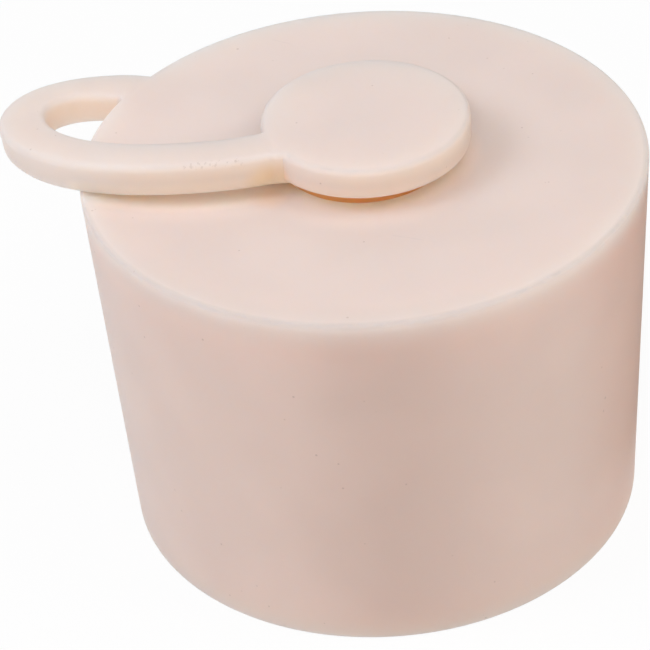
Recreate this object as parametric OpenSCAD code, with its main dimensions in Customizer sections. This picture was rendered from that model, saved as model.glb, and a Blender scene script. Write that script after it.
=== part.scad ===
// Silicone bung with a captive plug, moulded in one piece.
// A tapered body has a hole right through it. A flat tether leaves the rim flush with
// the top face, swings out past it in a loop and carries the plug that closes the hole.
// Millimetres, +Z up. The origin is on the body's axis, in the plane of its base.

/* [Body] */
// Diameter of the flat top face, measured to the wall
top_d = 56; // [46:0.5:70]
// Diameter of the base, measured to the wall
base_d = 52.5; // [40:0.5:66]
// Height from the base to the top face
body_h = 40; // [28:0.5:60]
// Rounding of the rim and the base edge
body_edge_r = 0.4; // [0.1:0.05:2]

/* [Bore] */
// Diameter of the hole through the body
bore_d = 16.1; // [12:0.1:18]
// Rounding of the hole's two mouths
bore_edge_r = 0.1; // [0.05:0.05:1]

/* [Plug] */
// Diameter of the round head
head_d = 20.5; // [19:0.5:28]
// Thickness of the head
head_t = 3.25; // [2.4:0.05:6]
// Height at which the head stands clear of the top face
head_gap = 1.65; // [0.4:0.05:4]
// Rounding of the head's edges
head_edge_r = 0.6; // [0.1:0.05:1.1]
// How far the bent tether pushes the head off the stem's axis
head_shift = 0.5; // [0:0.05:1]
// Length of the stem below the top face
stem_l = 18; // [8:0.5:26]
// How much narrower the stem is at its end, on each side
stem_taper = 1.1; // [0.2:0.1:3]
// Rounding of the stem's end
stem_edge_r = 1; // [0.2:0.1:2]
// Space all round between the stem and the mouth of the hole
stem_clearance = 0.1; // [0.05:0.05:0.5]

/* [Tether] */
// Width of the tether along its arms
tether_w = 4.5; // [3:0.1:7]
// Width of the tether where the loop swings out furthest
loop_w = 4.8; // [3:0.05:8]
// Thickness of the tether
tether_t = 3.3; // [2:0.05:5]
// Rounding of the tether's long edges
tether_edge_r = 0.7; // [0.2:0.05:0.95]
// Radius of the fillet in plan between the tether and the rim, inside the loop
root_fillet_r = 0.8; // [0.2:0.1:2]
// Radius of the fillets in plan between the tether and the head
join_fillet_r = 1.2; // [0.2:0.1:2]
// Angle round the rim at which the tether leaves the body
root_angle = 144.5; // [130:0.5:158]
// Direction in which the tether leaves the rim
root_heading = 162.5; // [145:0.5:175]
// How far the tether's middle line swings out past the rim
loop_reach = 6.05; // [4:0.05:12]
// How far behind the body's axis the loop swings out furthest
loop_back = 9.8; // [6:0.05:13]
// Angle round the head at which the tether joins it
join_angle = 202; // [190:0.5:215]
// Direction in which the tether runs into the head
join_heading = 13.5; // [0:0.5:30]
// Greatest roll of the tether, outer edge down
tether_bank = 6; // [0:0.5:10]

/* [Hidden] */

$fn = 96;
silicone = [0.91, 0.84, 0.8];

// How far the tether's top lies below the two faces that it runs into, too little to see
flush_drop = 0.02;
// Points on each rounded corner of an outline
corner_steps = 6;
// Cross-sections on the outward and the homeward stretch of the tether
out_steps = 20;
home_steps = 30;
// Crowding of the cross-sections towards the fillets at the ends
crowding = 1.8;
// Lengths of the four handles that bend the middle line, as shares of each stretch's chord
handle_shares = [0.5, 0.4, 0.26, 0.55];
// Share of the tether's length over which it climbs to the head
climb_share = 0.87;
// Share of the tether's length, each way from the loop's outermost point, over which it is wider
wide_share = 0.21;
// Share of the tether's length at which its roll is greatest
bank_peak_share = 0.18;

top_r = top_d / 2;
base_r = base_d / 2;
head_r = head_d / 2;
head_low = body_h + head_gap;
head_top = head_low + head_t;
stem_top_r = bore_d / 2 - stem_clearance;
stem_end_r = stem_top_r - stem_taper;
stem_low = body_h - stem_l;
wall_lean = atan2(top_r - base_r, body_h);
stem_lean = atan2(stem_taper, stem_l);

// A point in plan at an angle from the X axis
function polar(r, angle) = [r * cos(angle), r * sin(angle)];

// Points of a rounded corner, turned about its centre from one angle to another
function corner(centre, r, from, to) =
    [for (i = [0 : corner_steps]) centre + polar(r, from + (to - from) * i / corner_steps)];

// Distance along a flat edge from a sharp corner to the centre of its rounding,
// where the other edge leans by so many degrees from square
function setback(r, lean) = r * (1 + sin(lean)) / cos(lean);

// A cubic curve through the first and last of four points, and its direction
function curve(p, t) =
    p[0] * pow(1 - t, 3) + 3 * p[1] * t * pow(1 - t, 2) + 3 * p[2] * t * t * (1 - t) + p[3] * pow(t, 3);
function curve_slope(p, t) =
    (p[1] - p[0]) * pow(1 - t, 2) + 2 * (p[2] - p[1]) * t * (1 - t) + (p[3] - p[2]) * t * t;

// A smooth step from 0 to 1
function ease(u) = let (c = min(max(u, 0), 1)) c * c * (3 - 2 * c);

// The tether's middle line in plan: out from the rim to the loop's outermost point, then home to the head
root = polar(top_r, root_angle);
loop_end = [-top_r - loop_reach, loop_back];
join = [head_shift, 0] + polar(head_r, join_angle);
out_chord = norm(loop_end - root);
home_chord = norm(join - loop_end);
loop_heading = 270;
out_curve = [
    root,
    root + polar(handle_shares[0] * out_chord, root_heading),
    loop_end - polar(handle_shares[1] * out_chord, loop_heading),
    loop_end
];
home_curve = [
    loop_end,
    loop_end + polar(handle_shares[2] * home_chord, loop_heading),
    join - polar(handle_shares[3] * home_chord, join_heading),
    join
];
out_places = [for (i = [0 : out_steps]) pow(i / out_steps, crowding)];
home_places = [for (i = [1 : home_steps]) 1 - pow(1 - i / home_steps, crowding)];
line = concat([for (t = out_places) curve(out_curve, t)], [for (t = home_places) curve(home_curve, t)]);
slopes = concat(
    [for (t = out_places) curve_slope(out_curve, t)],
    [for (t = home_places) curve_slope(home_curve, t)]
);
last = len(line) - 1;
runs = [for (i = 0, s = 0; i <= last; s = s + (i < last ? norm(line[i + 1] - line[i]) : 0), i = i + 1) s];
tether_l = runs[last];

// How deep a round wall of radius r curves away at a distance x to the side
function sagitta(r, x) = r - sqrt(r * r - x * x);

// What a fillet of radius r adds to the half width at a distance from the wall that it meets
function fillet_add(distance, r) =
    let (c = min(max(distance, 0), r))
    r - sqrt(r * r - pow(r - c, 2));

// Where the fillets reach their walls: the tether crosses the rim at a slant, and meets the head squarely
root_lean = root_heading - root_angle;
root_side = tether_w / 2 + root_fillet_r;
root_wall = (root_side * sin(root_lean) - sagitta(top_r, root_side)) / cos(root_lean);
join_wall = tether_l + sagitta(head_r, tether_w / 2 + join_fillet_r);

// Half the tether's width at a distance along it, on the outer and on the inner side of the loop
function outer_half(s) =
    let (away = abs(s - runs[out_steps]) / tether_l / wide_share)
    tether_w / 2 + (loop_w - tether_w) / 2 * (1 - ease(away)) + fillet_add(join_wall - s, join_fillet_r);
function inner_half(s) = outer_half(s) + fillet_add(s - root_wall, root_fillet_r);

// Height of the tether's top, and its roll, at a distance along it
function tether_top(s) =
    body_h - flush_drop + (head_top - body_h) * ease(s / tether_l / climb_share);
function roll(s) =
    let (u = s / tether_l)
    tether_bank * ease(u / bank_peak_share) * ease((1 - u) / (1 - bank_peak_share));

// Rounding of the tether's edges at a distance along it: near its ends it sharpens to that of the wall there
function edge_r(s) =
    tether_edge_r
    + (min(body_edge_r, tether_edge_r) - tether_edge_r) * ease(1 - s / tether_w)
    + (min(head_edge_r, tether_edge_r) - tether_edge_r) * ease(1 - (tether_l - s) / tether_w);

// One cross-section: a rounded rectangle across the direction of travel, rolled about its top edge
function tether_section(place, slope, s) =
    let (
        across = [-slope[1], slope[0]] / norm(slope),
        side = [across[0] * cos(roll(s)), across[1] * cos(roll(s)), sin(roll(s))],
        up = [-across[0] * sin(roll(s)), -across[1] * sin(roll(s)), cos(roll(s))],
        middle = [place[0], place[1], tether_top(s)],
        r = edge_r(s),
        inner = inner_half(s) - r,
        outer = r - outer_half(s),
        low = r - tether_t,
        outline = concat(
            corner([inner, -r], r, 0, 90),
            corner([outer, -r], r, 90, 180),
            corner([outer, low], r, 180, 270),
            corner([inner, low], r, 270, 360)
        )
    )
    [for (q = outline) middle + q[0] * side + q[1] * up];

// The tapered body, with the hole right through it
module body() {
    base_in = setback(body_edge_r, -wall_lean);
    rim_in = setback(body_edge_r, wall_lean);
    mouth_out = bore_d / 2 + bore_edge_r;
    rotate_extrude()
        polygon(concat(
            corner([base_r - base_in, body_edge_r], body_edge_r, -90, -wall_lean),
            corner([top_r - rim_in, body_h - body_edge_r], body_edge_r, -wall_lean, 90),
            corner([mouth_out, body_h - bore_edge_r], bore_edge_r, 90, 180),
            corner([mouth_out, bore_edge_r], bore_edge_r, 180, 270)
        ));
}

// The plug's stem: it narrows towards its end, and its top runs on into the head
module stem() {
    end_in = setback(stem_edge_r, -stem_lean);
    head_mid = head_low + head_t / 2;
    rotate_extrude()
        polygon(concat(
            [[0, stem_low]],
            corner([stem_end_r - end_in, stem_low + stem_edge_r], stem_edge_r, -90, -stem_lean),
            [[stem_top_r, body_h], [stem_top_r, head_mid], [0, head_mid]]
        ));
}

// The plug's round head
module head() {
    head_in = head_r - head_edge_r;
    translate([head_shift, 0, 0])
        rotate_extrude()
            polygon(concat(
                [[0, head_low]],
                corner([head_in, head_low + head_edge_r], head_edge_r, -90, 0),
                corner([head_in, head_top - head_edge_r], head_edge_r, 0, 90),
                [[0, head_top]]
            ));
}

// The tether: one skin over all its cross-sections, with each end run on into what it joins
module tether() {
    root_tail = root - polar(tether_w, root_heading);
    join_tail = join + polar(tether_w, join_heading);
    rings = concat(
        [tether_section(root_tail, slopes[0], -tether_w)],
        [for (i = [0 : last]) tether_section(line[i], slopes[i], runs[i])],
        [tether_section(join_tail, slopes[last], tether_l + tether_w)]
    );
    sides = len(rings[0]);
    ends = len(rings) - 1;
    skin = [
        for (i = [0 : ends - 1], j = [0 : sides - 1])
            let (a = i * sides + j, b = i * sides + (j + 1) % sides)
            each [[a, b + sides, b], [a, a + sides, b + sides]]
    ];
    root_cap = [for (j = [0 : sides - 1]) j];
    join_cap = [for (j = [1 : sides]) (ends + 1) * sides - j];
    polyhedron(points = [for (ring = rings) each ring], faces = concat(skin, [root_cap, join_cap]));
}

// The whole moulding
module bung() {
    color(silicone) {
        body();
        stem();
        head();
        tether();
    }
}

bung();
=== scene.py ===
"""The looks of a silicone bung with a captive plug, built round the part's own solids.

One piece is made: the whole moulding, as one closed skin over the tapered body, the tether and the plug.
Lengths are in metres and angles in radians. The frame is the part's: +Z up, the origin on the body's axis
in the plane of its base, and the tether's loop towards -X.
"""

import math
from typing import NamedTuple

import bpy
import numpy as np
from bpy.props import FloatProperty, FloatVectorProperty, PointerProperty
from mathutils import Matrix, Vector


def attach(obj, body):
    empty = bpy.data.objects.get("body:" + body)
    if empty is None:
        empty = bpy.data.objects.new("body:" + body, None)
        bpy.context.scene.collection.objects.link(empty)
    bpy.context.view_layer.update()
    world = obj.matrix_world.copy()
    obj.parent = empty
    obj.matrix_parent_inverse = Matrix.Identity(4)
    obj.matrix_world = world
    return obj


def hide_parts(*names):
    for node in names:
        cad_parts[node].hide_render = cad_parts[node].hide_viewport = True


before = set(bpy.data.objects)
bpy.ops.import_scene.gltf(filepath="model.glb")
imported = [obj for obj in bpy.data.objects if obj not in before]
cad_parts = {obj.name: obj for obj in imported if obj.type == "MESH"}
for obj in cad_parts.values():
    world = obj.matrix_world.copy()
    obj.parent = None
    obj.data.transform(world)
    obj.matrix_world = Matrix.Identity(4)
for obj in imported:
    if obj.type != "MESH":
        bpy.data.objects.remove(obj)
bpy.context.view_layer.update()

bl_info = {
    "name": "Silicone bung",
    "version": (1, 0, 0),
    "blender": (4, 5, 0),
    "location": "3D View > Sidebar > Bung",
    "description": "Builds a silicone bung with a captive plug, and the stage it is shown on",
    "category": "Object",
}

NODE = "bung"
BODY = "root"
SHELTER = "shelter"
STRAP = "strap"
MM = 0.001
TAU = 2 * math.pi

# Fineness of the surfaces
ROUND_STEPS = 288
TOP_STEPS = 40
WALL_STEPS = 24
HIDDEN_STEPS = 8
CORNER_STEPS = 8
OUT_STEPS = 60
HOME_STEPS = 110
END_CROWDING = 1.8

# Decimal places that the panel shows
LENGTH_DIGITS = 5
SHARE_DIGITS = 4


def length(name, description, millimetres):
    """A length that a user may change."""
    return FloatProperty(
        name=name,
        description=description,
        default=millimetres * MM,
        unit="LENGTH",
        precision=LENGTH_DIGITS,
    )


def angle(name, description, degrees):
    """An angle that a user may change."""
    return FloatProperty(name=name, description=description, default=math.radians(degrees), unit="ROTATION")


def share(name, description, default):
    """A plain number that a user may change."""
    return FloatProperty(name=name, description=description, default=default, precision=SHARE_DIGITS)


def tint(name, description, default):
    """A colour that a user may change."""
    return FloatVectorProperty(
        name=name,
        description=description,
        default=default,
        subtype="COLOR",
        min=0,
        max=1,
    )


class BungSizes(bpy.types.PropertyGroup):
    """Sizes of the moulding, as in the part's own source."""

    top_radius: length("Top radius", "Radius of the flat top, out to the wall", 28)
    base_radius: length("Base radius", "Radius of the base, out to the wall", 26.25)
    height: length("Height", "From the base to the top face", 40)
    edge_radius: length("Edge rounding", "Rounding of the rim and the base edge", 0.4)
    bore_radius: length("Bore radius", "Radius of the hole through the body", 8.05)
    bore_edge_radius: length("Mouth rounding", "Rounding of the hole's two mouths", 0.1)
    head_radius: length("Head radius", "Radius of the plug's round head", 10.25)
    head_thickness: length("Head thickness", "Thickness of the plug's head", 3.25)
    head_gap: length("Head gap", "Height at which the head stands clear of the top face", 1.65)
    head_edge_radius: length("Head rounding", "Rounding of the head's edges", 0.6)
    head_shift: length("Head shift", "How far the bent tether pushes the head off the stem's axis", 0.5)
    stem_length: length("Stem length", "Length of the stem below the top face", 18)
    stem_taper: length("Stem taper", "How much narrower the stem's end is, on each side", 1.1)
    stem_edge_radius: length("Stem rounding", "Rounding of the stem's end", 1)
    stem_clearance: length("Stem clearance", "Space between the free stem and the wall of the hole", 0.1)
    neck_bulge: length("Neck bulge", "How far the squeezed neck bulges past the hole's radius", 0.15)
    neck_shift: length("Neck shift", "How far the neck leans over with the head", 0.15)
    seal_depth: length("Seal depth", "How deep below the mouth the stem presses against the wall", 3)
    tether_width: length("Tether width", "Width of the tether along its arms", 4.5)
    loop_width: length("Loop width", "Width of the tether where the loop swings out furthest", 4.8)
    tether_thickness: length("Tether thickness", "Thickness of the tether", 3.3)
    tether_edge_radius: length("Tether rounding", "Rounding of the tether's long edges", 0.7)
    root_fillet_radius: length("Root fillet", "Fillet in plan inside the loop, between tether and rim", 0.8)
    join_fillet_radius: length("Head fillets", "Fillets in plan between the tether and the head", 1.2)
    root_angle: angle("Root angle", "Where round the rim the tether leaves the body", 144.5)
    root_heading: angle("Root heading", "Direction in which the tether leaves the rim", 162.5)
    loop_reach: length("Loop reach", "How far the tether's middle line swings out past the rim", 6.05)
    loop_back: length("Loop back", "How far behind the axis the loop swings out furthest", 9.8)
    join_angle: angle("Join angle", "Where round the head the tether joins it", 202)
    join_heading: angle("Join heading", "Direction in which the tether runs into the head", 13.5)
    sag: length("Sag", "How much lower the underside of the near arm hangs, down onto the rim", 0.25)
    bank: angle("Bank", "Greatest roll of the tether, outer edge down", 6)


class BungFinish(bpy.types.PropertyGroup):
    """Colour and surface of the silicone, and the light and shade painted on it."""

    colour: tint("Silicone", "Colour of the silicone on its wall, in even white light", (0.795, 0.63, 0.56))
    # Painted shade: the darker colour of an upright band down the wall about x = 0
    shade_band_colour: tint("Streaks", "Darker colour of the wall's faint streaks", (0.735, 0.565, 0.495))
    # Painted sheen: the paler colour of the top face and of all above it
    top_sheen_colour: tint("Upper part", "Paler colour of the top face and of all above it", (0.77, 0.65, 0.60))
    # Painted glow: the creamy colour of the walls of tether and head
    strap_glow_colour: tint("Strap walls", "Creamy colour of the walls of tether and head", (0.82, 0.66, 0.58))
    # Painted shade: the deep warm colour in the corner between tether and head
    notch_shade_colour: tint("Notch", "Deep colour in the corner between tether and head", (0.93, 0.62, 0.38))
    # Painted shade: the wall turns warmer and darker towards +X
    warm_shade_tint: tint("Blush", "Tint that the wall takes on towards +X", (1.0, 0.88, 0.83))
    # Painted glow: warm colour low on the walls of tether and head, near a crevice
    foot_glow_colour: tint("Wall feet", "Warm colour low on the thin walls, near a crevice", (0.97, 0.66, 0.53))
    # Painted shade: a slightly darker, cooler band on both sides of the rim's front
    rim_shade_tint: tint("Beside the rim", "Tint of the broad band along the rim's front", (0.95, 0.957, 0.965))
    # Painted shade: the front of the rim and of the head's edge is darkened, which dims their highlight
    rim_shade_gain: share("Rim gain", "Brightness of the worn rim, as a share of the skin's own", 0.85)
    glow_colour: tint("Crevices", "Warm colour of the light out of a crevice", (1.0, 0.822, 0.718))
    # Painted shade: the deep orange of the stem in the shadow under the head
    neck_shade_colour: tint("Neck", "Deep colour of the stem between the head and the hole", (0.85, 0.51, 0.19))
    scuff_colour: tint("Scuffs", "Greyish colour of scuffs and hairline marks", (0.56, 0.50, 0.49))
    speck_colour: tint("Specks", "Colour of the dust and pits on it", (0.42, 0.3, 0.25))
    bleed: FloatVectorProperty(
        name="Bleed",
        description="How far red, green and blue light travel inside the silicone, as shares of the depth",
        default=(1.0, 0.84, 0.7),
    )
    bleed_depth: length("Bleed depth", "How far red light travels inside the silicone", 7)
    roughness: share("Roughness", "Roughness of the moulded skin", 0.42)
    ior: share("IOR", "Refractive index of the silicone", 1.41)
    gloss: share("Gloss", "Strength of its reflections, where 0.5 is that of a polished skin", 0.22)


class BungStage(bpy.types.PropertyGroup):
    """Lights and camera."""

    ambient: share("Ambient", "Strength of the even white surroundings", 0.08)
    top_power: share("Top lamp", "Power of the overhead softbox, in watts", 0.65)
    back_power: share("Back lamp", "Power of the softbox behind, in watts", 0.5)
    left_power: share("Left lamp", "Power of the softbox on the left, in watts", 1.45)
    right_power: share("Right lamp", "Power of the softbox on the right, in watts", 1.15)
    front_power: share("Front lamp", "Power of the softbox above the camera, in watts", 1.3)
    floor_glow: share("Floor glow", "Share of the floor's white that no shadow takes away", 0.93)
    floor_light: share("Floor light", "Share of that white which the floor sheds on the bung", 0.3)
    elevation: angle("Elevation", "Height of the camera above the top face's plane", 33.31)
    roll: angle("Roll", "Roll of the camera", -4.22)
    distance: length("Distance", "From the camera to the middle of the top face", 295.37)


# Outlines and surfaces


def ease(u):
    """A smooth step from 0 to 1: 3 u^2 - 2 u^3, held level outside that span."""
    c = np.clip(u, 0, 1)
    return c * c * (3 - 2 * c)


def polar(radius, turn):
    """The point in plan at a radius and an angle from the X axis."""
    return np.array([radius * math.cos(turn), radius * math.sin(turn)])


def corner(centre, radius, start, end):
    """Points of a rounded corner: the centre plus a radius turned evenly from start to end, in degrees."""
    turn = np.radians(np.linspace(start, end, CORNER_STEPS + 1))
    return np.asarray(centre) + radius * np.stack([np.cos(turn), np.sin(turn)], axis=1)


def stretch(start, end, steps):
    """Points that divide a straight stretch evenly, without its two ends."""
    u = np.linspace(0, 1, steps + 1)[1:-1, None]
    return (1 - u) * np.asarray(start) + u * np.asarray(end)


def setback(radius, lean):
    """From a sharp corner to its rounding's centre, along the flat edge, where the other edge leans."""
    return radius * (1 + math.sin(lean)) / math.cos(lean)


def grid_faces(rows, columns, wrap_columns):
    """Four-sided faces between neighbouring points of a grid whose rows close on themselves."""
    i = np.arange(rows)[:, None]
    j = np.arange(columns if wrap_columns else columns - 1)[None, :]
    across = (j + 1) % columns
    row = i * columns
    onward = (i + 1) % rows * columns
    quads = np.stack([row + j, onward + j, onward + across, row + across], axis=-1)
    return quads.reshape(-1, 4)


def turned(profile, closed):
    """A surface of revolution: point (r, z) of the profile goes to (r cos a, r sin a, z), with a all round.

    An open profile starts and ends on the axis, and each end is one point with a fan of triangles.
    """
    ring = profile if closed else profile[1:-1]
    turn = np.arange(ROUND_STEPS)[:, None] * TAU / ROUND_STEPS
    radius = ring[None, :, 0]
    height = np.broadcast_to(ring[None, :, 1], (ROUND_STEPS, len(ring)))
    points = np.stack([radius * np.cos(turn), radius * np.sin(turn), height], axis=-1).reshape(-1, 3)
    faces = grid_faces(ROUND_STEPS, len(ring), closed).tolist()
    if not closed:
        poles = [[0, 0, profile[0, 1]], [0, 0, profile[-1, 1]]]
        first = np.arange(ROUND_STEPS) * len(ring)
        onward = np.roll(first, -1)
        low = np.full_like(first, len(points))
        last = len(ring) - 1
        faces += np.stack([low, onward, first], axis=1).tolist()
        faces += np.stack([low + 1, first + last, onward + last], axis=1).tolist()
        points = np.vstack([points, poles])
    return points, faces


def skinned(rings):
    """A closed skin over a row of like rings, with a flat face at each end."""
    count, sides = rings.shape[:2]
    i = np.arange(count - 1)[:, None] * sides
    j = np.arange(sides)[None, :]
    across = (j + 1) % sides
    quads = np.stack([i + j, i + across, i + sides + across, i + sides + j], axis=-1).reshape(-1, 4)
    faces = quads.tolist()
    faces.append(list(range(sides - 1, -1, -1)))
    faces.append(list(range((count - 1) * sides, count * sides)))
    return rings.reshape(-1, 3), faces


def shell(name, points, faces):
    """A mesh object from points and faces, at the origin."""
    mesh = bpy.data.meshes.new(name)
    mesh.from_pydata(np.asarray(points).tolist(), [], faces)
    mesh.update()
    made = bpy.data.objects.new(name, mesh)
    bpy.context.scene.collection.objects.link(made)
    return made


def fused(name, shells):
    """One closed skin round shells that overlap: their union, as a new object. The shells are removed."""
    base = shells[0]
    for other in shells[1:]:
        union = base.modifiers.new("union", "BOOLEAN")
        union.operation = "UNION"
        union.solver = "MANIFOLD"
        union.object = other
    seen = base.evaluated_get(bpy.context.evaluated_depsgraph_get())
    mesh = bpy.data.meshes.new_from_object(seen)
    mesh.name = name
    for made in shells:
        bpy.data.objects.remove(made)
    piece = bpy.data.objects.new(name, mesh)
    bpy.context.scene.collection.objects.link(piece)
    return piece


# The moulding


def body_shell(size):
    """The tapered body and the hole through it: one closed outline, turned about the axis."""
    lean = math.atan2(size.top_radius - size.base_radius, size.height)
    lean_degrees = math.degrees(lean)
    r = size.edge_radius
    m = size.bore_edge_radius
    mouth = size.bore_radius + m
    base = corner([size.base_radius - setback(r, -lean), r], r, -90, -lean_degrees)
    rim = corner([size.top_radius - setback(r, lean), size.height - r], r, -lean_degrees, 90)
    mouth_high = corner([mouth, size.height - m], m, 90, 180)
    mouth_low = corner([mouth, m], m, 180, 270)
    profile = np.vstack([
        base,
        stretch(base[-1], rim[0], WALL_STEPS),
        rim,
        stretch(rim[-1], mouth_high[0], TOP_STEPS),
        mouth_high,
        stretch(mouth_high[-1], mouth_low[0], HIDDEN_STEPS),
        mouth_low,
        stretch(mouth_low[-1], base[0], HIDDEN_STEPS),
    ])
    return shell("body", *turned(profile, closed=True))


def stem_shell(size):
    """The plug's stem: it narrows towards its end, and its top runs on into the head.

    Just below the mouth the stem is squeezed against the wall of the hole, so the two meet there.
    """
    head_mid = size.height + size.head_gap + size.head_thickness / 2
    stem_top = size.bore_radius - size.stem_clearance
    stem_end = stem_top - size.stem_taper
    stem_low = size.height - size.stem_length
    lean = math.atan2(size.stem_taper, size.stem_length)
    lean_degrees = math.degrees(lean)
    r = size.stem_edge_radius
    end = corner([stem_end - setback(r, -lean), stem_low + r], r, -90, -lean_degrees)
    seal_low = size.height - size.seal_depth
    squeezed = size.bore_radius + size.stem_clearance
    free_top = [stem_top - math.tan(lean) * size.seal_depth, seal_low]
    seal = [[squeezed, seal_low], [squeezed, size.height - size.bore_edge_radius]]
    neck = [[stem_top, size.height], [stem_top, head_mid], [0, head_mid]]
    profile = np.vstack([
        [[0, stem_low]],
        stretch([0, stem_low], end[0], HIDDEN_STEPS),
        end,
        stretch(end[-1], free_top, HIDDEN_STEPS),
        [free_top],
        seal,
        neck,
    ])
    return shell("stem", *turned(profile, closed=False))


def neck_shell(size):
    """The squeezed neck between the stem and the head, which leans over with the head: a short cylinder."""
    low = size.height - size.seal_depth
    high = size.height + size.head_gap + size.head_thickness / 2
    radius = size.bore_radius + size.neck_bulge
    profile = np.array([[0, low], [radius, low], [radius, high], [0, high]])
    points, faces = turned(profile, closed=False)
    return shell("neck", points + [size.neck_shift, 0, 0], faces)


def head_shell(size):
    """The plug's round head, turned about an axis beside the stem's."""
    low = size.height + size.head_gap
    top = low + size.head_thickness
    e = size.head_edge_radius
    inner = size.head_radius - e
    under = corner([inner, low + e], e, -90, 0)
    over = corner([inner, top - e], e, 0, 90)
    profile = np.vstack([
        [[0, low]],
        stretch([0, low], under[0], HIDDEN_STEPS),
        under,
        stretch(under[-1], over[0], HIDDEN_STEPS),
        over,
        stretch(over[-1], [0, top], HIDDEN_STEPS),
        [[0, top]],
    ])
    points, faces = turned(profile, closed=False)
    return shell("head", points + [size.head_shift, 0, 0], faces)


def cubic(p, t):
    """A cubic curve through the first and last of four points, and its direction, at each t."""
    t = t[:, None]
    s = 1 - t
    place = s**3 * p[0] + 3 * s * s * t * p[1] + 3 * s * t * t * p[2] + t**3 * p[3]
    slope = s * s * (p[1] - p[0]) + 2 * s * t * (p[2] - p[1]) + t * t * (p[3] - p[2])
    return place, slope / np.linalg.norm(slope, axis=1, keepdims=True)


# How far the tether's top lies below the two faces that it runs into, too little to see
FLUSH_DROP = 0.02 * MM

# Shares that shape the tether: handle lengths of its two curves, its climb, its wide stretch and its roll
HANDLE_SHARES = (0.5, 0.4, 0.26, 0.55)
CLIMB_SHARE = 0.87
WIDE_SHARE = 0.21
BANK_PEAK_SHARE = 0.18

# Where along the tether its near arm begins to sag, and over how long a share of it
SAG_SHARES = (0.35, 0.2)


def tether_line(size):
    """The tether's middle line in plan, its direction and the distance along it, from rim to head."""
    root = polar(size.top_radius, size.root_angle)
    outermost = np.array([-size.top_radius - size.loop_reach, size.loop_back])
    join = np.array([size.head_shift, 0]) + polar(size.head_radius, size.join_angle)
    ahead = np.array([0, -1])
    out_chord = np.linalg.norm(outermost - root)
    home_chord = np.linalg.norm(join - outermost)
    out_curve = [
        root,
        root + polar(HANDLE_SHARES[0] * out_chord, size.root_heading),
        outermost - HANDLE_SHARES[1] * out_chord * ahead,
        outermost,
    ]
    home_curve = [
        outermost,
        outermost + HANDLE_SHARES[2] * home_chord * ahead,
        join - polar(HANDLE_SHARES[3] * home_chord, size.join_heading),
        join,
    ]
    out_t = np.linspace(0, 1, OUT_STEPS + 1) ** END_CROWDING
    home_t = 1 - (1 - np.linspace(0, 1, HOME_STEPS + 1)[1:]) ** END_CROWDING
    out_place, out_slope = cubic(out_curve, out_t)
    home_place, home_slope = cubic(home_curve, home_t)
    place = np.vstack([out_place, home_place])
    slope = np.vstack([out_slope, home_slope])
    steps = np.linalg.norm(np.diff(place, axis=0), axis=1)
    return place, slope, np.concatenate([[0], np.cumsum(steps)])


def fillet_width(distance, radius):
    """What a fillet adds to the half width at a distance from the wall: r - sqrt(r^2 - (r - d)^2)."""
    left = radius - np.clip(distance, 0, radius)
    return radius - np.sqrt(radius**2 - left**2)


def sagitta(radius, half):
    """How deep a round wall curves away at a distance to the side: R - sqrt(R^2 - h^2)."""
    return radius - math.sqrt(radius**2 - half**2)


def tether_course(size):
    """The tether along its length: middle line, direction, distance, height of the top, roll, half widths.

    Its top is level with the top face at the rim and with the head's top at the head. Both ends run on into
    what they join. The half widths are those on the outer and on the inner side of the loop: the fillets at
    the head are on both sides, and the one at the rim, crossed at a slant, is on the inner side.
    """
    place, slope, run = tether_line(size)
    total = run[-1]
    tail = size.tether_width
    place = np.vstack([place[0] - tail * slope[0], place, place[-1] + tail * slope[-1]])
    slope = np.vstack([slope[0], slope, slope[-1]])
    run = np.concatenate([[-tail], run, [total + tail]])
    u = run / total
    rise = size.head_gap + size.head_thickness
    top = size.height - FLUSH_DROP + rise * ease(u / CLIMB_SHARE)
    roll = size.bank * ease(u / BANK_PEAK_SHARE) * ease((1 - u) / (1 - BANK_PEAK_SHARE))
    wide = 1 - ease(np.abs(run - run[OUT_STEPS + 1]) / total / WIDE_SHARE)
    arm = size.tether_width / 2
    outer = arm + (size.loop_width - size.tether_width) / 2 * wide
    join_wall = total + sagitta(size.head_radius, arm + size.join_fillet_radius)
    outer += fillet_width(join_wall - run, size.join_fillet_radius)
    lean = size.root_heading - size.root_angle
    root_side = arm + size.root_fillet_radius
    root_wall = (root_side * math.sin(lean) - sagitta(size.top_radius, root_side)) / math.cos(lean)
    inner = outer + fillet_width(run - root_wall, size.root_fillet_radius)
    return place, slope, run, top, roll, outer, inner


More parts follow.
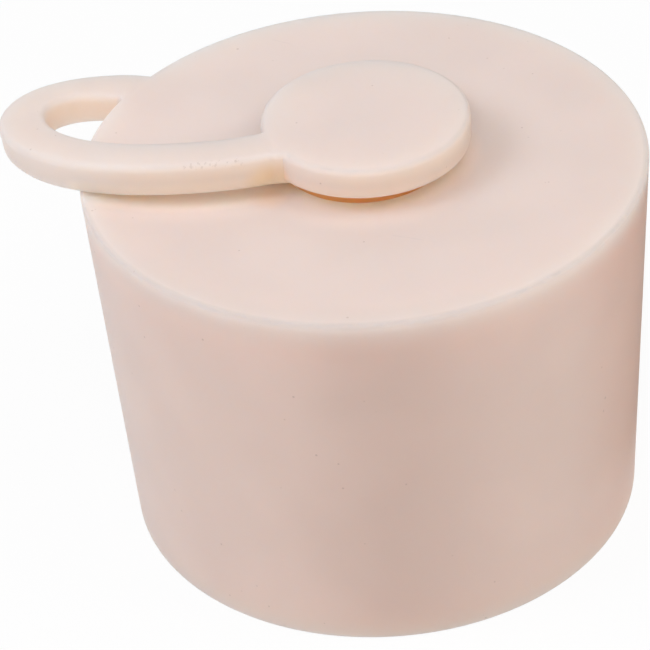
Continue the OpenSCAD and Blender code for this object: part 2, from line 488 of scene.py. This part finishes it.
def tether_shell(size):
    """The tether: a rounded rectangle carried along the middle line, rolled a little on the way.

    Near its ends the rounding of its edges runs into the rim's and the head's.
    """
    place, slope, run, top, roll, outer, inner = tether_course(size)
    tail = -run[0]
    total = run[-1] - tail
    across = np.stack([-slope[:, 1], slope[:, 0], np.zeros_like(run)], axis=1)
    upward = np.array([0, 0, 1])
    cos = np.cos(roll)[:, None]
    sin = np.sin(roll)[:, None]
    side = across * cos + upward * sin
    up = upward * cos - across * sin
    edge = size.tether_edge_radius * np.ones_like(run)
    rim_edge = min(size.edge_radius, size.tether_edge_radius)
    head_edge = min(size.head_edge_radius, size.tether_edge_radius)
    edge += (rim_edge - size.tether_edge_radius) * ease(1 - run / tail)
    edge += (head_edge - size.tether_edge_radius) * ease(1 - (total - run) / tail)
    down = np.linspace(0, 1, HIDDEN_STEPS + 1)[1:-1]
    quarters = [corner([0, 0], 1, quarter, quarter + 90) for quarter in (0, 90, 180, 270)]
    level = np.zeros_like(down)
    outer_side = np.stack([level - 1, level], axis=1)
    inner_side = np.stack([level + 1, level], axis=1)
    unit = np.vstack([*quarters[:2], outer_side, *quarters[2:], inner_side])
    arc = np.ones(CORNER_STEPS + 1)
    inward = np.concatenate([arc, 0 * arc, level, 0 * arc, arc, level + 1])
    sunk = np.concatenate([0 * arc, 0 * arc, down, arc, arc, down[::-1]])
    flat = (inner - edge)[:, None] * inward - (outer - edge)[:, None] * (1 - inward)
    sideways = edge[:, None] * unit[:, 0] + flat
    thick = size.tether_thickness + size.sag * ease((run / total - SAG_SHARES[0]) / SAG_SHARES[1])
    depth = edge[:, None] * (unit[:, 1] - 1 + 2 * sunk) - thick[:, None] * sunk
    middle = np.column_stack([place, top])
    rings = middle[:, None, :] + sideways[..., None] * side[:, None, :] + depth[..., None] * up[:, None, :]
    return shell("tether", *skinned(rings))


# The overlapping shells that make up the moulding
SHELLS = (body_shell, stem_shell, neck_shell, head_shell, tether_shell)


# Share of the crevices' warmth that also lies on the top face in front of them
FRONT_GLOW = 0.35

# How wide the smooth steps are into the crevices and in front of them, in heights of the gap below the head
HEAD_STEP = 2
TETHER_STEP = 1.2
FRONT_STEP = 2


def shelter(points, size):
    """How far each point lies in the crevices under the head and the tether, from 0 to 1.

    Under the head: a smooth step inwards past the head's edge, times one downwards past its lower edge.
    Under the tether: the same steps past its sides and its lower edge, where the body is below it. A share
    of it reaches further out on the top face in front of them.
    """
    reach = size.head_gap
    front = FRONT_STEP * reach
    r = np.hypot(points[:, 0], points[:, 1])
    from_head = np.hypot(points[:, 0] - size.head_shift, points[:, 1])
    z = points[:, 2]
    above_body = ease((z - size.height + reach) / reach)
    head_low = size.height + size.head_gap
    under_head = ease((size.head_radius + reach - from_head) / (HEAD_STEP * reach))
    under_head *= 1 - ease((z - head_low) / reach)
    place, _, _, top, _, outer, _ = tether_course(size)
    away = np.linalg.norm(points[:, None, :2] - place[None], axis=2)
    nearest = np.argmin(away, axis=1)
    tether_low = top[nearest] - size.tether_thickness
    beside = np.min(away, axis=1) - outer[nearest]
    under_tether = ease((reach - beside) / (TETHER_STEP * reach)) * (1 - ease((z - tether_low) / reach))
    before_tether = ease((front - beside) / front) * ease((place[nearest, 1] - points[:, 1]) / reach)
    before_tether *= ease((top[nearest] - size.height) / reach)
    before_head = ease((size.head_radius + front - from_head) / front)
    before_head *= ease(-points[:, 1] / size.head_radius)
    glow = FRONT_GLOW * np.maximum(before_tether, before_head) * (1 - ease((z - size.height) / reach))
    hidden = np.maximum(np.maximum(under_head, under_tether), glow)
    return above_body * hidden * ease((size.top_radius + reach - r) / reach)


def strap_share(points, size):
    """How far each point belongs to the tether and the head, from 0 on the body to 1.

    A smooth step outwards past the body's wall, or upwards past its top face, over a short way.
    """
    way = size.edge_radius
    z = points[:, 2]
    wall = size.base_radius + (size.top_radius - size.base_radius) * z / size.height
    beyond = ease((np.hypot(points[:, 0], points[:, 1]) - wall) / way)
    return np.maximum(beyond, ease((z - size.height) / way))


# Shader maths

# Sockets of a Mix node that mixes colours: its factor, its two colours and its result
MIX_FACTOR = 0
MIX_FIRST = 6
MIX_SECOND = 7
MIX_RESULT = 2


class Wire:
    """A socket of a node tree, so that sums of sockets read as plain expressions."""

    def __init__(self, tree, socket=None):
        self.tree = tree
        self.socket = socket

    def node(self, kind, settings=None, inputs=None, output=0):
        """Adds a node of any kind: its settings, then its sockets' values or links. Gives one output."""
        made = self.tree.nodes.new(kind)
        for key, value in (settings or {}).items():
            setattr(made, key, value)
        for key, value in (inputs or {}).items():
            if isinstance(value, Wire):
                self.tree.links.new(value.socket, made.inputs[key])
            else:
                made.inputs[key].default_value = value
        return Wire(self.tree, made.outputs[output])

    def also(self, output):
        """Another output of the same node."""
        return Wire(self.tree, self.socket.node.outputs[output])

    def math(self, operation, *values):
        """A Math node on plain values and sockets."""
        return self.node("ShaderNodeMath", {"operation": operation}, dict(enumerate(values)))

    def __add__(self, other):
        return self.math("ADD", self, other)

    def __radd__(self, other):
        return self.math("ADD", other, self)

    def __sub__(self, other):
        return self.math("SUBTRACT", self, other)

    def __rsub__(self, other):
        return self.math("SUBTRACT", other, self)

    def __mul__(self, other):
        return self.math("MULTIPLY", self, other)

    def __rmul__(self, other):
        return self.math("MULTIPLY", other, self)

    def most(self, other):
        """The greater of two sockets."""
        return self.math("MAXIMUM", self, other)

    def fade(self, low, high):
        """A smooth step from 0 at low to 1 at high."""
        return self.node(
            "ShaderNodeMapRange",
            {"interpolation_type": "SMOOTHSTEP"},
            {"Value": self, "From Min": low, "From Max": high},
        )

    def mix(self, first, second, blend="MIX"):
        """A colour between two others, by this socket."""
        settings = {"data_type": "RGBA", "blend_type": blend}
        inputs = {MIX_FACTOR: self, MIX_FIRST: first, MIX_SECOND: second}
        return self.node("ShaderNodeMix", settings, inputs, output=MIX_RESULT)


def opaque(colour):
    """A colour with full alpha, for a colour socket."""
    return (*colour, 1.0)


def grey(level):
    """A grey of a given level, for a colour socket."""
    return opaque((level, level, level))


def coordinate(vector, axis):
    """One coordinate of a vector."""
    return vector.node("ShaderNodeSeparateXYZ", None, {0: vector}, output=axis)


def vector_math(operation, first, second, output=0):
    """A Vector Math node on two vectors. Its plain numbers come out of the output named Value."""
    return first.node("ShaderNodeVectorMath", {"operation": operation}, {0: first, 1: second}, output)


def noise(place, size):
    """Soft noise from 0 to 1, with lumps of about a given size."""
    return place.node("ShaderNodeTexNoise", None, {"Vector": place, "Scale": 1 / size, "Detail": 1.0})


def scattered(place, strewn, low_down=0):
    """Small round spots strewn at random, one to a cell at most: 1 on a spot and 0 off it.

    Each spot is 0.5 to 1.5 times the size that is given. The rarer they are, the more cells stay empty.
    """
    lattice = {"Vector": place, "Scale": 1 / strewn.cell, "Randomness": 1.0}
    near = place.node("ShaderNodeTexVoronoi", {"feature": "F1"}, lattice, output="Distance")
    luck = place.node("ShaderNodeSeparateColor", None, {0: near.also("Color")}, output=0)
    rarity = strewn.rarity - strewn.low_bonus * low_down
    edge = strewn.spot * (0.5 + luck.also(1))
    return (1 - near.fade(0.5 * edge, edge)) * luck.fade(rarity, rarity + LUCK_SOFTNESS)


def axis_distance(place):
    """Distance from the Z axis: the root of x^2 + y^2."""
    flat = vector_math("MULTIPLY", place, (1, 1, 0))
    return place.node("ShaderNodeVectorMath", {"operation": "LENGTH"}, {0: flat}, output="Value")


def point_distance(place, point):
    """Distance from a point."""
    return vector_math("DISTANCE", place, point, "Value")


def ring_distance(place, centre, radius):
    """Distance from a level ring about a centre: the root of (r - radius)^2 + z^2, both from the centre."""
    off = vector_math("SUBTRACT", place, centre)
    out = axis_distance(off) - radius
    up = coordinate(off, "Z")
    return place.math("SQRT", out * out + up * up)


def line_distance(place, start, end):
    """Distance from a straight line between two points: to its nearest point, start + t (end - start)."""
    along = Vector(end) - Vector(start)
    off = vector_math("SUBTRACT", place, start)
    dot = vector_math("DOT_PRODUCT", off, along, "Value")
    t = place.node("ShaderNodeClamp", None, {"Value": dot * (1 / along.length_squared)})
    step = place.node("ShaderNodeVectorMath", {"operation": "SCALE"}, {0: along, "Scale": t})
    return vector_math("DISTANCE", off, step, "Value")


# The silicone


class Strewn(NamedTuple):
    """Spots strewn at random: the size of their cells, their own size in cells, and how rare they are.

    The bonus is how much less rare they are low on the wall.
    """

    cell: float
    spot: float
    rarity: float
    low_bonus: float = 0.0


# Sizes of the skin's clouds, of the tatters that break up its marks, and of its grain
CLOUD_SIZE = 11 * MM
TATTER_SIZE = 1.6 * MM
GRAIN_SIZE = 0.35 * MM

# Dust specks, pits, the finer pits of the worn edge, and how softly their rarity cuts off
SPECKS = Strewn(2 * MM, 0.065, 0.66, 0.3)
PITS = Strewn(1.5 * MM, 0.07, 0.88, 0.2)
WORN_PITS = Strewn(0.4 * MM, 0.3, 0.15)
LUCK_SOFTNESS = 0.02

# The pitted stretch of the tether's outer edge, from end to end
ARM_WEAR = ((-17.0 * MM, -6.65 * MM, 44.64 * MM), (-11.5 * MM, -6.45 * MM, 44.67 * MM))

# Hairline marks on the top face, from end to end
HAIRLINES = (
    ((-8.5 * MM, 23.3 * MM), (-3.0 * MM, 20.0 * MM)),
    ((2.3 * MM, -14.0 * MM), (6.6 * MM, -15.7 * MM)),
)

# The rings that the rim's and the head's marks lie round: how far below and inside the sharp edge
RIM_RING_DROP = 0.1 * MM
RIM_RING_INSET = 0.2 * MM
HEAD_RING_INSET = 0.25 * MM

# How far the marks reach from their middle: where they begin to fade, and where they end
RIM_SCUFF_REACH = (0.05 * MM, 0.22 * MM)
HEAD_SCUFF_REACH = (0.05 * MM, 0.2 * MM)
RIM_DIM_REACH = (0, 0.55 * MM)
HEAD_DIM_REACH = (0, 0.6 * MM)
BESIDE_RIM_REACH = (0.5 * MM, 3.2 * MM)
WEAR_REACH = (0.2 * MM, 0.5 * MM)
HAIRLINE_REACH = (0.02 * MM, 0.1 * MM)
NOTCH_REACH = (0.8 * MM, 3.0 * MM)

# How far the edges' marks keep off the tether's two ends
ROOT_REACH = (2.0 * MM, 3.2 * MM)
JOIN_REACH = (2.4 * MM, 3.6 * MM)

# Depths along Y at which marks of the front fade away
SCUFF_FRONT = (-8 * MM, 8 * MM)
RIM_FRONT = (-8 * MM, 12 * MM)
HEAD_FRONT = (-6 * MM, 2 * MM)
BESIDE_RIM_FRONT = (-14 * MM, -4 * MM)

# Places along X: where the painted shade beside the rim fades, where the painted warm shade on the wall sets
# in, and where the painted shade band ends
BESIDE_RIM_ACROSS = (5 * MM, 20 * MM)
WARM_SHADE_ACROSS = (17 * MM, 27 * MM)
SHADE_BAND_ACROSS = (15 * MM, 20 * MM)

# The painted shade band's pitch, and how far it wanders
SHADE_BAND_PITCH = 30 * MM
SHADE_BAND_WANDER = 6 * MM

# Heights: the low part of the wall, the fade of the painted sheen below the top face, and the softness of
# the painted neck shade's borders
LOW_WALL = (0, 14 * MM)
TOP_FADE = 3.8 * MM
NECK_SOFTNESS = 0.06 * MM

# Levels of noise between which it turns from nothing to full
BROKEN_NOISE = (0.5, 0.62)
HAIRLINE_NOISE = (0.35, 0.6)
WEAR_NOISE = (0.56, 0.66)
CLOUD_NOISE = (0.35, 0.65)

# Which walls count as upright, and which of those face far enough from -X, by their normal's Z and X
UPRIGHT_FACING = (0.2, 0.9)
AWAY_FACING = (-0.8, -0.1)

# How far round from the tether's middle line its notch with the head lies
NOTCH_TURN = math.radians(10)

# Strengths of the marks and of the painted light and shade, from 0 to 1
HEAD_SCUFF_SHARE = 0.7
HEAD_DIM_SHARE = 0.5
HAIRLINE_SHARE = 0.5
WEAR_GRAIN_SHARE = 0.7
FOOT_GLOW_SHARE = 0.7
NOTCH_SHARE = 0.6
SCUFF_SHARE = 0.35
WEAR_SHARE = 0.4
SPECK_SHARE = 0.42
PIT_SHARE = 0.6
CLOUD_GAIN = 0.97

# What clouds, scuffs and the dimmed edges add to the roughness
CLOUD_ROUGHNESS = 0.08
SCUFF_ROUGHNESS = 0.15
DIMMED_EDGE_ROUGHNESS = 0.4

# The relief of the skin
GRAIN_RELIEF = 0.2
TATTER_RELIEF = 0.35
RELIEF_STRENGTH = 0.15
RELIEF_DEPTH = 0.06 * MM


class SkinPlace:
    """Where on the skin a point lies, as sockets: its place and coordinates, and the skin's noises there."""

    def __init__(self, start):
        self.place = start.node("ShaderNodeTexCoord", output="Object")
        self.across = coordinate(self.place, "X")
        self.depth = coordinate(self.place, "Y")
        self.height = coordinate(self.place, "Z")
        self.cloud = noise(self.place, CLOUD_SIZE)
        self.grain = noise(self.place, GRAIN_SIZE)
        self.tatter = noise(self.place, TATTER_SIZE)

    def before(self, span):
        """1 in front of a span of depths, falling to 0 behind it."""
        return 1 - self.depth.fade(*span)


def edge_marks(at, size):
    """Marks of the front edges, from 0 to 1: grey scuffs, painted shade that dims the edges' highlight, and
    the painted shade of the broad band beside the rim.

    Hairlines on the top face count as scuffs.
    """
    head_top = size.height + size.head_gap + size.head_thickness
    rim_middle = (0, 0, size.height - RIM_RING_DROP)
    rim = ring_distance(at.place, rim_middle, size.top_radius - RIM_RING_INSET)
    head_middle = (size.head_shift, 0, head_top)
    head_rim = ring_distance(at.place, head_middle, size.head_radius - HEAD_RING_INSET)
    root = (*polar(size.top_radius, size.root_angle), size.height)
    off_root = point_distance(at.place, root).fade(*ROOT_REACH)
    join = polar(size.head_radius, size.join_angle)
    off_join = point_distance(at.place, (join[0] + size.head_shift, join[1], head_top)).fade(*JOIN_REACH)

    broken = at.tatter.fade(*BROKEN_NOISE)
    rim_scuff = (1 - rim.fade(*RIM_SCUFF_REACH)) * broken * off_root
    head_scuff = HEAD_SCUFF_SHARE * (1 - head_rim.fade(*HEAD_SCUFF_REACH)) * broken * off_join
    scuff = rim_scuff.most(head_scuff) * at.before(SCUFF_FRONT)
    for start, end in HAIRLINES:
        hairline = line_distance(at.place, (*start, size.height), (*end, size.height))
        faint = HAIRLINE_SHARE * (1 - hairline.fade(*HAIRLINE_REACH)) * at.tatter.fade(*HAIRLINE_NOISE)
        scuff = scuff.most(faint)

    # Painted shade that dims the highlight on the front of the rim and of the head's edge
    rim_dimmed = (1 - rim.fade(*RIM_DIM_REACH)) * at.before(RIM_FRONT)
    head_dimmed = HEAD_DIM_SHARE * (1 - head_rim.fade(*HEAD_DIM_REACH)) * at.before(HEAD_FRONT) * off_join
    # Painted shade in a broad band along the rim's front
    beside = (1 - rim.fade(*BESIDE_RIM_REACH)) * (1 - at.across.fade(*BESIDE_RIM_ACROSS))
    return scuff, rim_dimmed.most(head_dimmed), beside * at.before(BESIDE_RIM_FRONT)


def spots(at):
    """Small dark spots, from 0 to 1: the pits of the worn edge, and the specks and pits all over."""
    worn = 1 - line_distance(at.place, *ARM_WEAR).fade(*WEAR_REACH)
    wear = scattered(at.place, WORN_PITS).most(WEAR_GRAIN_SHARE * at.grain.fade(*WEAR_NOISE)) * worn
    low_down = 1 - at.height.fade(*LOW_WALL)
    pits = PIT_SHARE * scattered(at.place, PITS, low_down)
    return wear, scattered(at.place, SPECKS, low_down).most(pits)


def neck_shade_mask(at, size):
    """1 on the neck between the head and the top face, where the shade is painted, and 0 elsewhere."""
    off_axis = vector_math("SUBTRACT", at.place, (size.neck_shift, 0, 0))
    edge = size.bore_radius + size.neck_bulge
    head_low = size.height + size.head_gap
    within = 1 - axis_distance(off_axis).fade(edge, edge + NECK_SOFTNESS)
    below = 1 - at.height.fade(head_low, head_low + NECK_SOFTNESS)
    return within * below * at.height.fade(size.height, size.height + NECK_SOFTNESS)


def notch_shade_mask(at, size):
    """How near a point lies to the lower corner between the tether and the head, from 0 to NOTCH_SHARE:
    where the painted warm shade lies.
    """
    turned_to = polar(size.head_radius + size.join_fillet_radius, size.join_angle + NOTCH_TURN)
    corner_place = (turned_to[0] + size.head_shift, turned_to[1], size.height + size.head_gap)
    return NOTCH_SHARE * (1 - point_distance(at.place, corner_place).fade(*NOTCH_REACH))


def plain_colour(at, finish, size):
    """Colour of the unmarked skin: a painted upright band of shade about x = 0, painted warm shade towards
    +X, a paler top that is painted sheen, and faint clouds.

    The shade band is (1 + cos(TAU x / pitch)) / 2, where x wanders with the clouds.
    """
    # Painted shade: an upright band down the wall about x = 0, darkest at its middle
    wave = at.across + SHADE_BAND_WANDER * at.cloud - SHADE_BAND_WANDER / 2
    shade_band = 0.5 + 0.5 * wave.math("COSINE", wave * (TAU / SHADE_BAND_PITCH))
    shade_band = shade_band * (1 - wave.math("ABSOLUTE", wave).fade(*SHADE_BAND_ACROSS))
    # Painted sheen: paler from a little below the top face upwards
    sheen_on_top = at.height.fade(size.height - TOP_FADE, size.height)
    colour = shade_band.mix(opaque(finish.colour), opaque(finish.shade_band_colour))
    # Painted warm shade on the wall towards +X
    colour = at.across.fade(*WARM_SHADE_ACROSS).mix(colour, opaque(finish.warm_shade_tint), "MULTIPLY")
    colour = sheen_on_top.mix(colour, opaque(finish.top_sheen_colour))
    return at.cloud.fade(*CLOUD_NOISE).mix(colour, grey(CLOUD_GAIN), "MULTIPLY")


def silicone_material(finish, size):
    """Cream silicone: light bleeds through it, and its crevices have a painted warm glow.

    Over the plain colour come, in this order: painted shade that dims the rim and the head's edge and the
    painted shade of the band beside the rim, a painted glow on the walls of tether and head, the painted
    glow of the crevices and of the walls' feet, painted warm shade in the notch and on the neck, and last
    the scuffs, pits and specks.
    """
    material = bpy.data.materials.new("cream_silicone")
    material.use_nodes = True
    tree = material.node_tree
    skin = tree.nodes["Principled BSDF"]
    start = Wire(tree)
    at = SkinPlace(start)
    scuff, dimmed_edge, shade_beside_rim = edge_marks(at, size)
    wear, specks = spots(at)
    crevice = start.node("ShaderNodeAttribute", {"attribute_name": SHELTER}, output="Fac")
    strap = start.node("ShaderNodeAttribute", {"attribute_name": STRAP}, output="Fac")
    facing = start.node("ShaderNodeNewGeometry", output="Normal")
    upright = 1 - start.math("ABSOLUTE", coordinate(facing, "Z")).fade(*UPRIGHT_FACING)
    # Painted glow on the upright walls of tether and head, except those that face -X
    thin_wall_glow = strap * (upright * coordinate(facing, "X").fade(*AWAY_FACING))

    colour = plain_colour(at, finish, size)
    # Painted shade that dims the highlight on the front edges
    colour = dimmed_edge.mix(colour, grey(finish.rim_shade_gain), "MULTIPLY")
    # Painted shade in the band along the rim's front
    colour = shade_beside_rim.mix(colour, opaque(finish.rim_shade_tint), "MULTIPLY")
    colour = thin_wall_glow.mix(colour, opaque(finish.strap_glow_colour))
    colour = crevice.mix(colour, opaque(finish.glow_colour))
    # Painted glow low on the walls of tether and head, near a crevice
    colour = (crevice * strap * upright * FOOT_GLOW_SHARE).mix(colour, opaque(finish.foot_glow_colour))
    # Painted warm shade in the corner between tether and head
    colour = notch_shade_mask(at, size).mix(colour, opaque(finish.notch_shade_colour))
    # Painted shade on the neck under the head
    colour = neck_shade_mask(at, size).mix(colour, opaque(finish.neck_shade_colour))
    colour = (scuff * SCUFF_SHARE).mix(colour, opaque(finish.scuff_colour))
    colour = (wear * WEAR_SHARE).mix(colour, opaque(finish.speck_colour))
    colour = (specks * SPECK_SHARE).mix(colour, opaque(finish.speck_colour))
    tree.links.new(colour.socket, skin.inputs["Base Color"])

    clouded = finish.roughness - CLOUD_ROUGHNESS / 2 + CLOUD_ROUGHNESS * at.cloud
    roughness = clouded + SCUFF_ROUGHNESS * scuff + DIMMED_EDGE_ROUGHNESS * dimmed_edge
    tree.links.new(roughness.socket, skin.inputs["Roughness"])
    relief = GRAIN_RELIEF * at.grain + TATTER_RELIEF * at.tatter
    bumps = {"Strength": RELIEF_STRENGTH, "Distance": RELIEF_DEPTH, "Height": relief}
    bump = start.node("ShaderNodeBump", None, bumps)
    tree.links.new(bump.socket, skin.inputs["Normal"])

    skin.subsurface_method = "RANDOM_WALK"
    skin.inputs["Subsurface Weight"].default_value = 1.0
    skin.inputs["Subsurface Radius"].default_value = finish.bleed
    skin.inputs["Subsurface Scale"].default_value = finish.bleed_depth
    skin.inputs["IOR"].default_value = finish.ior
    skin.inputs["Specular IOR Level"].default_value = finish.gloss
    return material


# Faces that meet at a sharper angle than this keep a crisp edge
SHARP_ANGLE = math.radians(50)


class BUNG_OT_moulding(bpy.types.Operator):
    """Make the moulding: body, tether and plug as one closed skin"""

    bl_idname = "bung.moulding"
    bl_label = "Moulding"

    def execute(self, context):
        size = context.scene.bung_sizes
        piece = fused("moulding", [make(size) for make in SHELLS])
        mesh = piece.data
        mesh.shade_smooth()
        mesh.set_sharp_from_angle(angle=SHARP_ANGLE)
        points = np.empty(3 * len(mesh.vertices))
        mesh.vertices.foreach_get("co", points)
        points = points.reshape(-1, 3)
        for name, shares in ((SHELTER, shelter), (STRAP, strap_share)):
            layer = mesh.attributes.new(name, "FLOAT", "POINT")
            layer.data.foreach_set("value", shares(points, size))
        mesh.materials.clear()
        mesh.materials.append(silicone_material(context.scene.bung_finish, size))
        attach(piece, BODY)
        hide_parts(NODE)
        return {"FINISHED"}


# The stage

# The photograph's frame, its focal length and where it shows the middle of the top face, in pixels
FRAME_PIXELS = 650
FOCAL_PIXELS = 3000
TOP_MIDDLE_PIXEL = (362.9, 156.0)
SENSOR_WIDTH = 36.0

# The floor: half its width, how far it lies below the base, and its grey
FLOOR_REACH = 3.0
FLOOR_DROP = 0.05 * MM
FLOOR_GREY = 0.9

# The dark card: where its near side, its far sides, its front and its top lie, and its grey
CARD_NEAR = 0.03
CARD_FAR = 0.3
CARD_FRONT = -0.05
CARD_TOP = 0.35
CARD_GREY = 0.05

WHITE = (1, 1, 1)


class Lamp(NamedTuple):
    """A square softbox: its name, its place, the length of its side, its power's setting and its colour."""

    name: str
    place: tuple
    side: float
    power: str
    colour: tuple = WHITE


# The lamps: overhead, behind, on either side and above the camera
LAMPS = (
    Lamp("top_lamp", (0.0, 0.0, 0.6), 0.4, "top_power"),
    Lamp("back_lamp", (0.0, 0.5, 0.38), 0.5, "back_power"),
    Lamp("left_lamp", (-0.4, -0.1, 0.45), 0.3, "left_power", (0.98, 1.0, 1.07)),
    Lamp("right_lamp", (0.4, -0.1, 0.45), 0.3, "right_power", (1.0, 0.94, 0.88)),
    Lamp("front_lamp", (0.0, -0.5, 0.45), 0.3, "front_power"),
)

# The point that all the lamps face
LAMP_AIM = (0, 0, 0.025)


def camera_matrix(stage, target):
    """The camera's place and turn: it stands off the target by its elevation, and is rolled.

    It aims so that the target falls on its own pixel of the frame.
    """
    back = Vector((0, -math.cos(stage.elevation), math.sin(stage.elevation)))
    level = Matrix((Vector((1, 0, 0)), back.cross(Vector((1, 0, 0))), back)).transposed()
    middle = FRAME_PIXELS / 2
    sight = Vector((TOP_MIDDLE_PIXEL[0] - middle, middle - TOP_MIDDLE_PIXEL[1], -FOCAL_PIXELS))
    swing = Vector((0, 0, -1)).rotation_difference(sight).to_matrix()
    roll = Matrix.Rotation(-stage.roll, 3, "Z")
    turn = level @ (swing @ roll).transposed()
    return Matrix.Translation(target + back * stage.distance) @ turn.to_4x4()


def softbox(lamp, power):
    """A square area lamp that faces the bung."""
    light = bpy.data.lights.new(lamp.name, "AREA")
    light.shape = "SQUARE"
    light.size = lamp.side
    light.energy = power
    light.color = lamp.colour
    made = bpy.data.objects.new(lamp.name, light)
    bpy.context.scene.collection.objects.link(made)
    made.location = lamp.place
    made.rotation_euler = (Vector(LAMP_AIM) - Vector(lamp.place)).to_track_quat("-Z", "Y").to_euler()


def seen_directly(wire):
    """1 for rays from the camera and for what gloss and clear things show; 0 for light on things."""
    camera = wire.node("ShaderNodeLightPath", output="Is Camera Ray")
    return camera.most(camera.also("Is Glossy Ray").most(camera.also("Is Transmission Ray")))


def white_world(stage):
    """White surroundings: full white where they are seen, and dimmer as a light."""
    world = bpy.data.worlds.new("studio")
    world.use_nodes = True
    tree = world.node_tree
    wire = Wire(tree)
    strength = stage.ambient + (1 - stage.ambient) * seen_directly(wire)
    tree.links.new(strength.socket, tree.nodes["Background"].inputs["Strength"])
    tree.nodes["Background"].inputs["Color"].default_value = opaque(WHITE)
    return world


def floor_material(stage):
    """A white floor that keeps a soft shadow: part of its white is its own where it is seen."""
    material = bpy.data.materials.new("white_floor")
    material.use_nodes = True
    tree = material.node_tree
    wire = Wire(tree)
    tree.nodes.remove(tree.nodes["Principled BSDF"])
    lit = wire.node("ShaderNodeBsdfDiffuse", None, {"Color": grey(FLOOR_GREY)})
    glow = wire.node("ShaderNodeEmission", None, {"Color": opaque(WHITE), "Strength": 1.0})
    own = stage.floor_light + (stage.floor_glow - stage.floor_light) * seen_directly(wire)
    mixed = wire.node("ShaderNodeMixShader", None, {0: own, 1: lit, 2: glow})
    tree.links.new(mixed.socket, tree.nodes["Material Output"].inputs["Surface"])
    return material


def card_material():
    """A dark card, for reflections alone."""
    material = bpy.data.materials.new("dark_card")
    material.use_nodes = True
    skin = material.node_tree.nodes["Principled BSDF"]
    skin.inputs["Base Color"].default_value = grey(CARD_GREY)
    skin.inputs["Roughness"].default_value = 1.0
    skin.inputs["Specular IOR Level"].default_value = 0.0
    return material


class BUNG_OT_stage(bpy.types.Operator):
    """Make the stage: a white floor, white surroundings, a dark card, soft lamps and the camera"""

    bl_idname = "bung.stage"
    bl_label = "Stage"

    def execute(self, context):
        scene = context.scene
        stage = scene.bung_stage
        square = ((-1, -1), (1, -1), (1, 1), (-1, 1))
        corners = [(FLOOR_REACH * x, FLOOR_REACH * y, -FLOOR_DROP) for x, y in square]
        floor = shell("floor", corners, [[0, 1, 2, 3]])
        floor.data.materials.append(floor_material(stage))
        low_edge = [
            (CARD_NEAR, CARD_FRONT, 0),
            (CARD_FAR, CARD_FRONT, 0),
            (CARD_FAR, CARD_FAR, 0),
            (CARD_NEAR, CARD_FAR, 0),
        ]
        high_edge = [(x, y, CARD_TOP) for x, y, _ in low_edge]
        card = shell("dark_card", low_edge + high_edge, [[0, 1, 2, 3], [1, 2, 6, 5], [2, 3, 7, 6]])
        card.data.materials.append(card_material())
        card.visible_camera = False
        card.visible_diffuse = False
        card.visible_shadow = False
        scene.world = white_world(stage)
        for lamp in LAMPS:
            softbox(lamp, getattr(stage, lamp.power))
        camera = bpy.data.cameras.new("camera")
        camera.sensor_width = SENSOR_WIDTH
        camera.lens = SENSOR_WIDTH * FOCAL_PIXELS / FRAME_PIXELS
        eye = bpy.data.objects.new("camera", camera)
        scene.collection.objects.link(eye)
        eye.matrix_world = camera_matrix(stage, Vector((0, 0, scene.bung_sizes.height)))
        scene.camera = eye
        scene.view_settings.view_transform = "Standard"
        return {"FINISHED"}


class BUNG_PT_panel(bpy.types.Panel):
    """Everything that makes the bung"""

    bl_idname = "BUNG_PT_panel"
    bl_label = "Silicone bung"
    bl_space_type = "VIEW_3D"
    bl_region_type = "UI"
    bl_category = "Bung"

    def draw(self, context):
        for operator in OPERATORS:
            self.layout.operator(operator.bl_idname)
        for group in GROUPS:
            holder = getattr(context.scene, group)
            for key in holder.bl_rna.properties.keys():
                if key not in ("rna_type", "name"):
                    self.layout.prop(holder, key)


OPERATORS = (BUNG_OT_moulding, BUNG_OT_stage)
GROUPS = {"bung_sizes": BungSizes, "bung_finish": BungFinish, "bung_stage": BungStage}
CLASSES = (*GROUPS.values(), *OPERATORS, BUNG_PT_panel)


def register():
    """Registers the classes, and hangs the settings on the scene."""
    for made in CLASSES:
        bpy.utils.register_class(made)
    for key, group in GROUPS.items():
        setattr(bpy.types.Scene, key, PointerProperty(type=group))


def unregister():
    """Takes the settings off the scene, and the classes away."""
    for key in GROUPS:
        delattr(bpy.types.Scene, key)
    for made in reversed(CLASSES):
        bpy.utils.unregister_class(made)


def main():
    """Builds the bung and its stage."""
    register()
    bpy.ops.bung.moulding()
    bpy.ops.bung.stage()


if __name__ == "__main__":
    main()
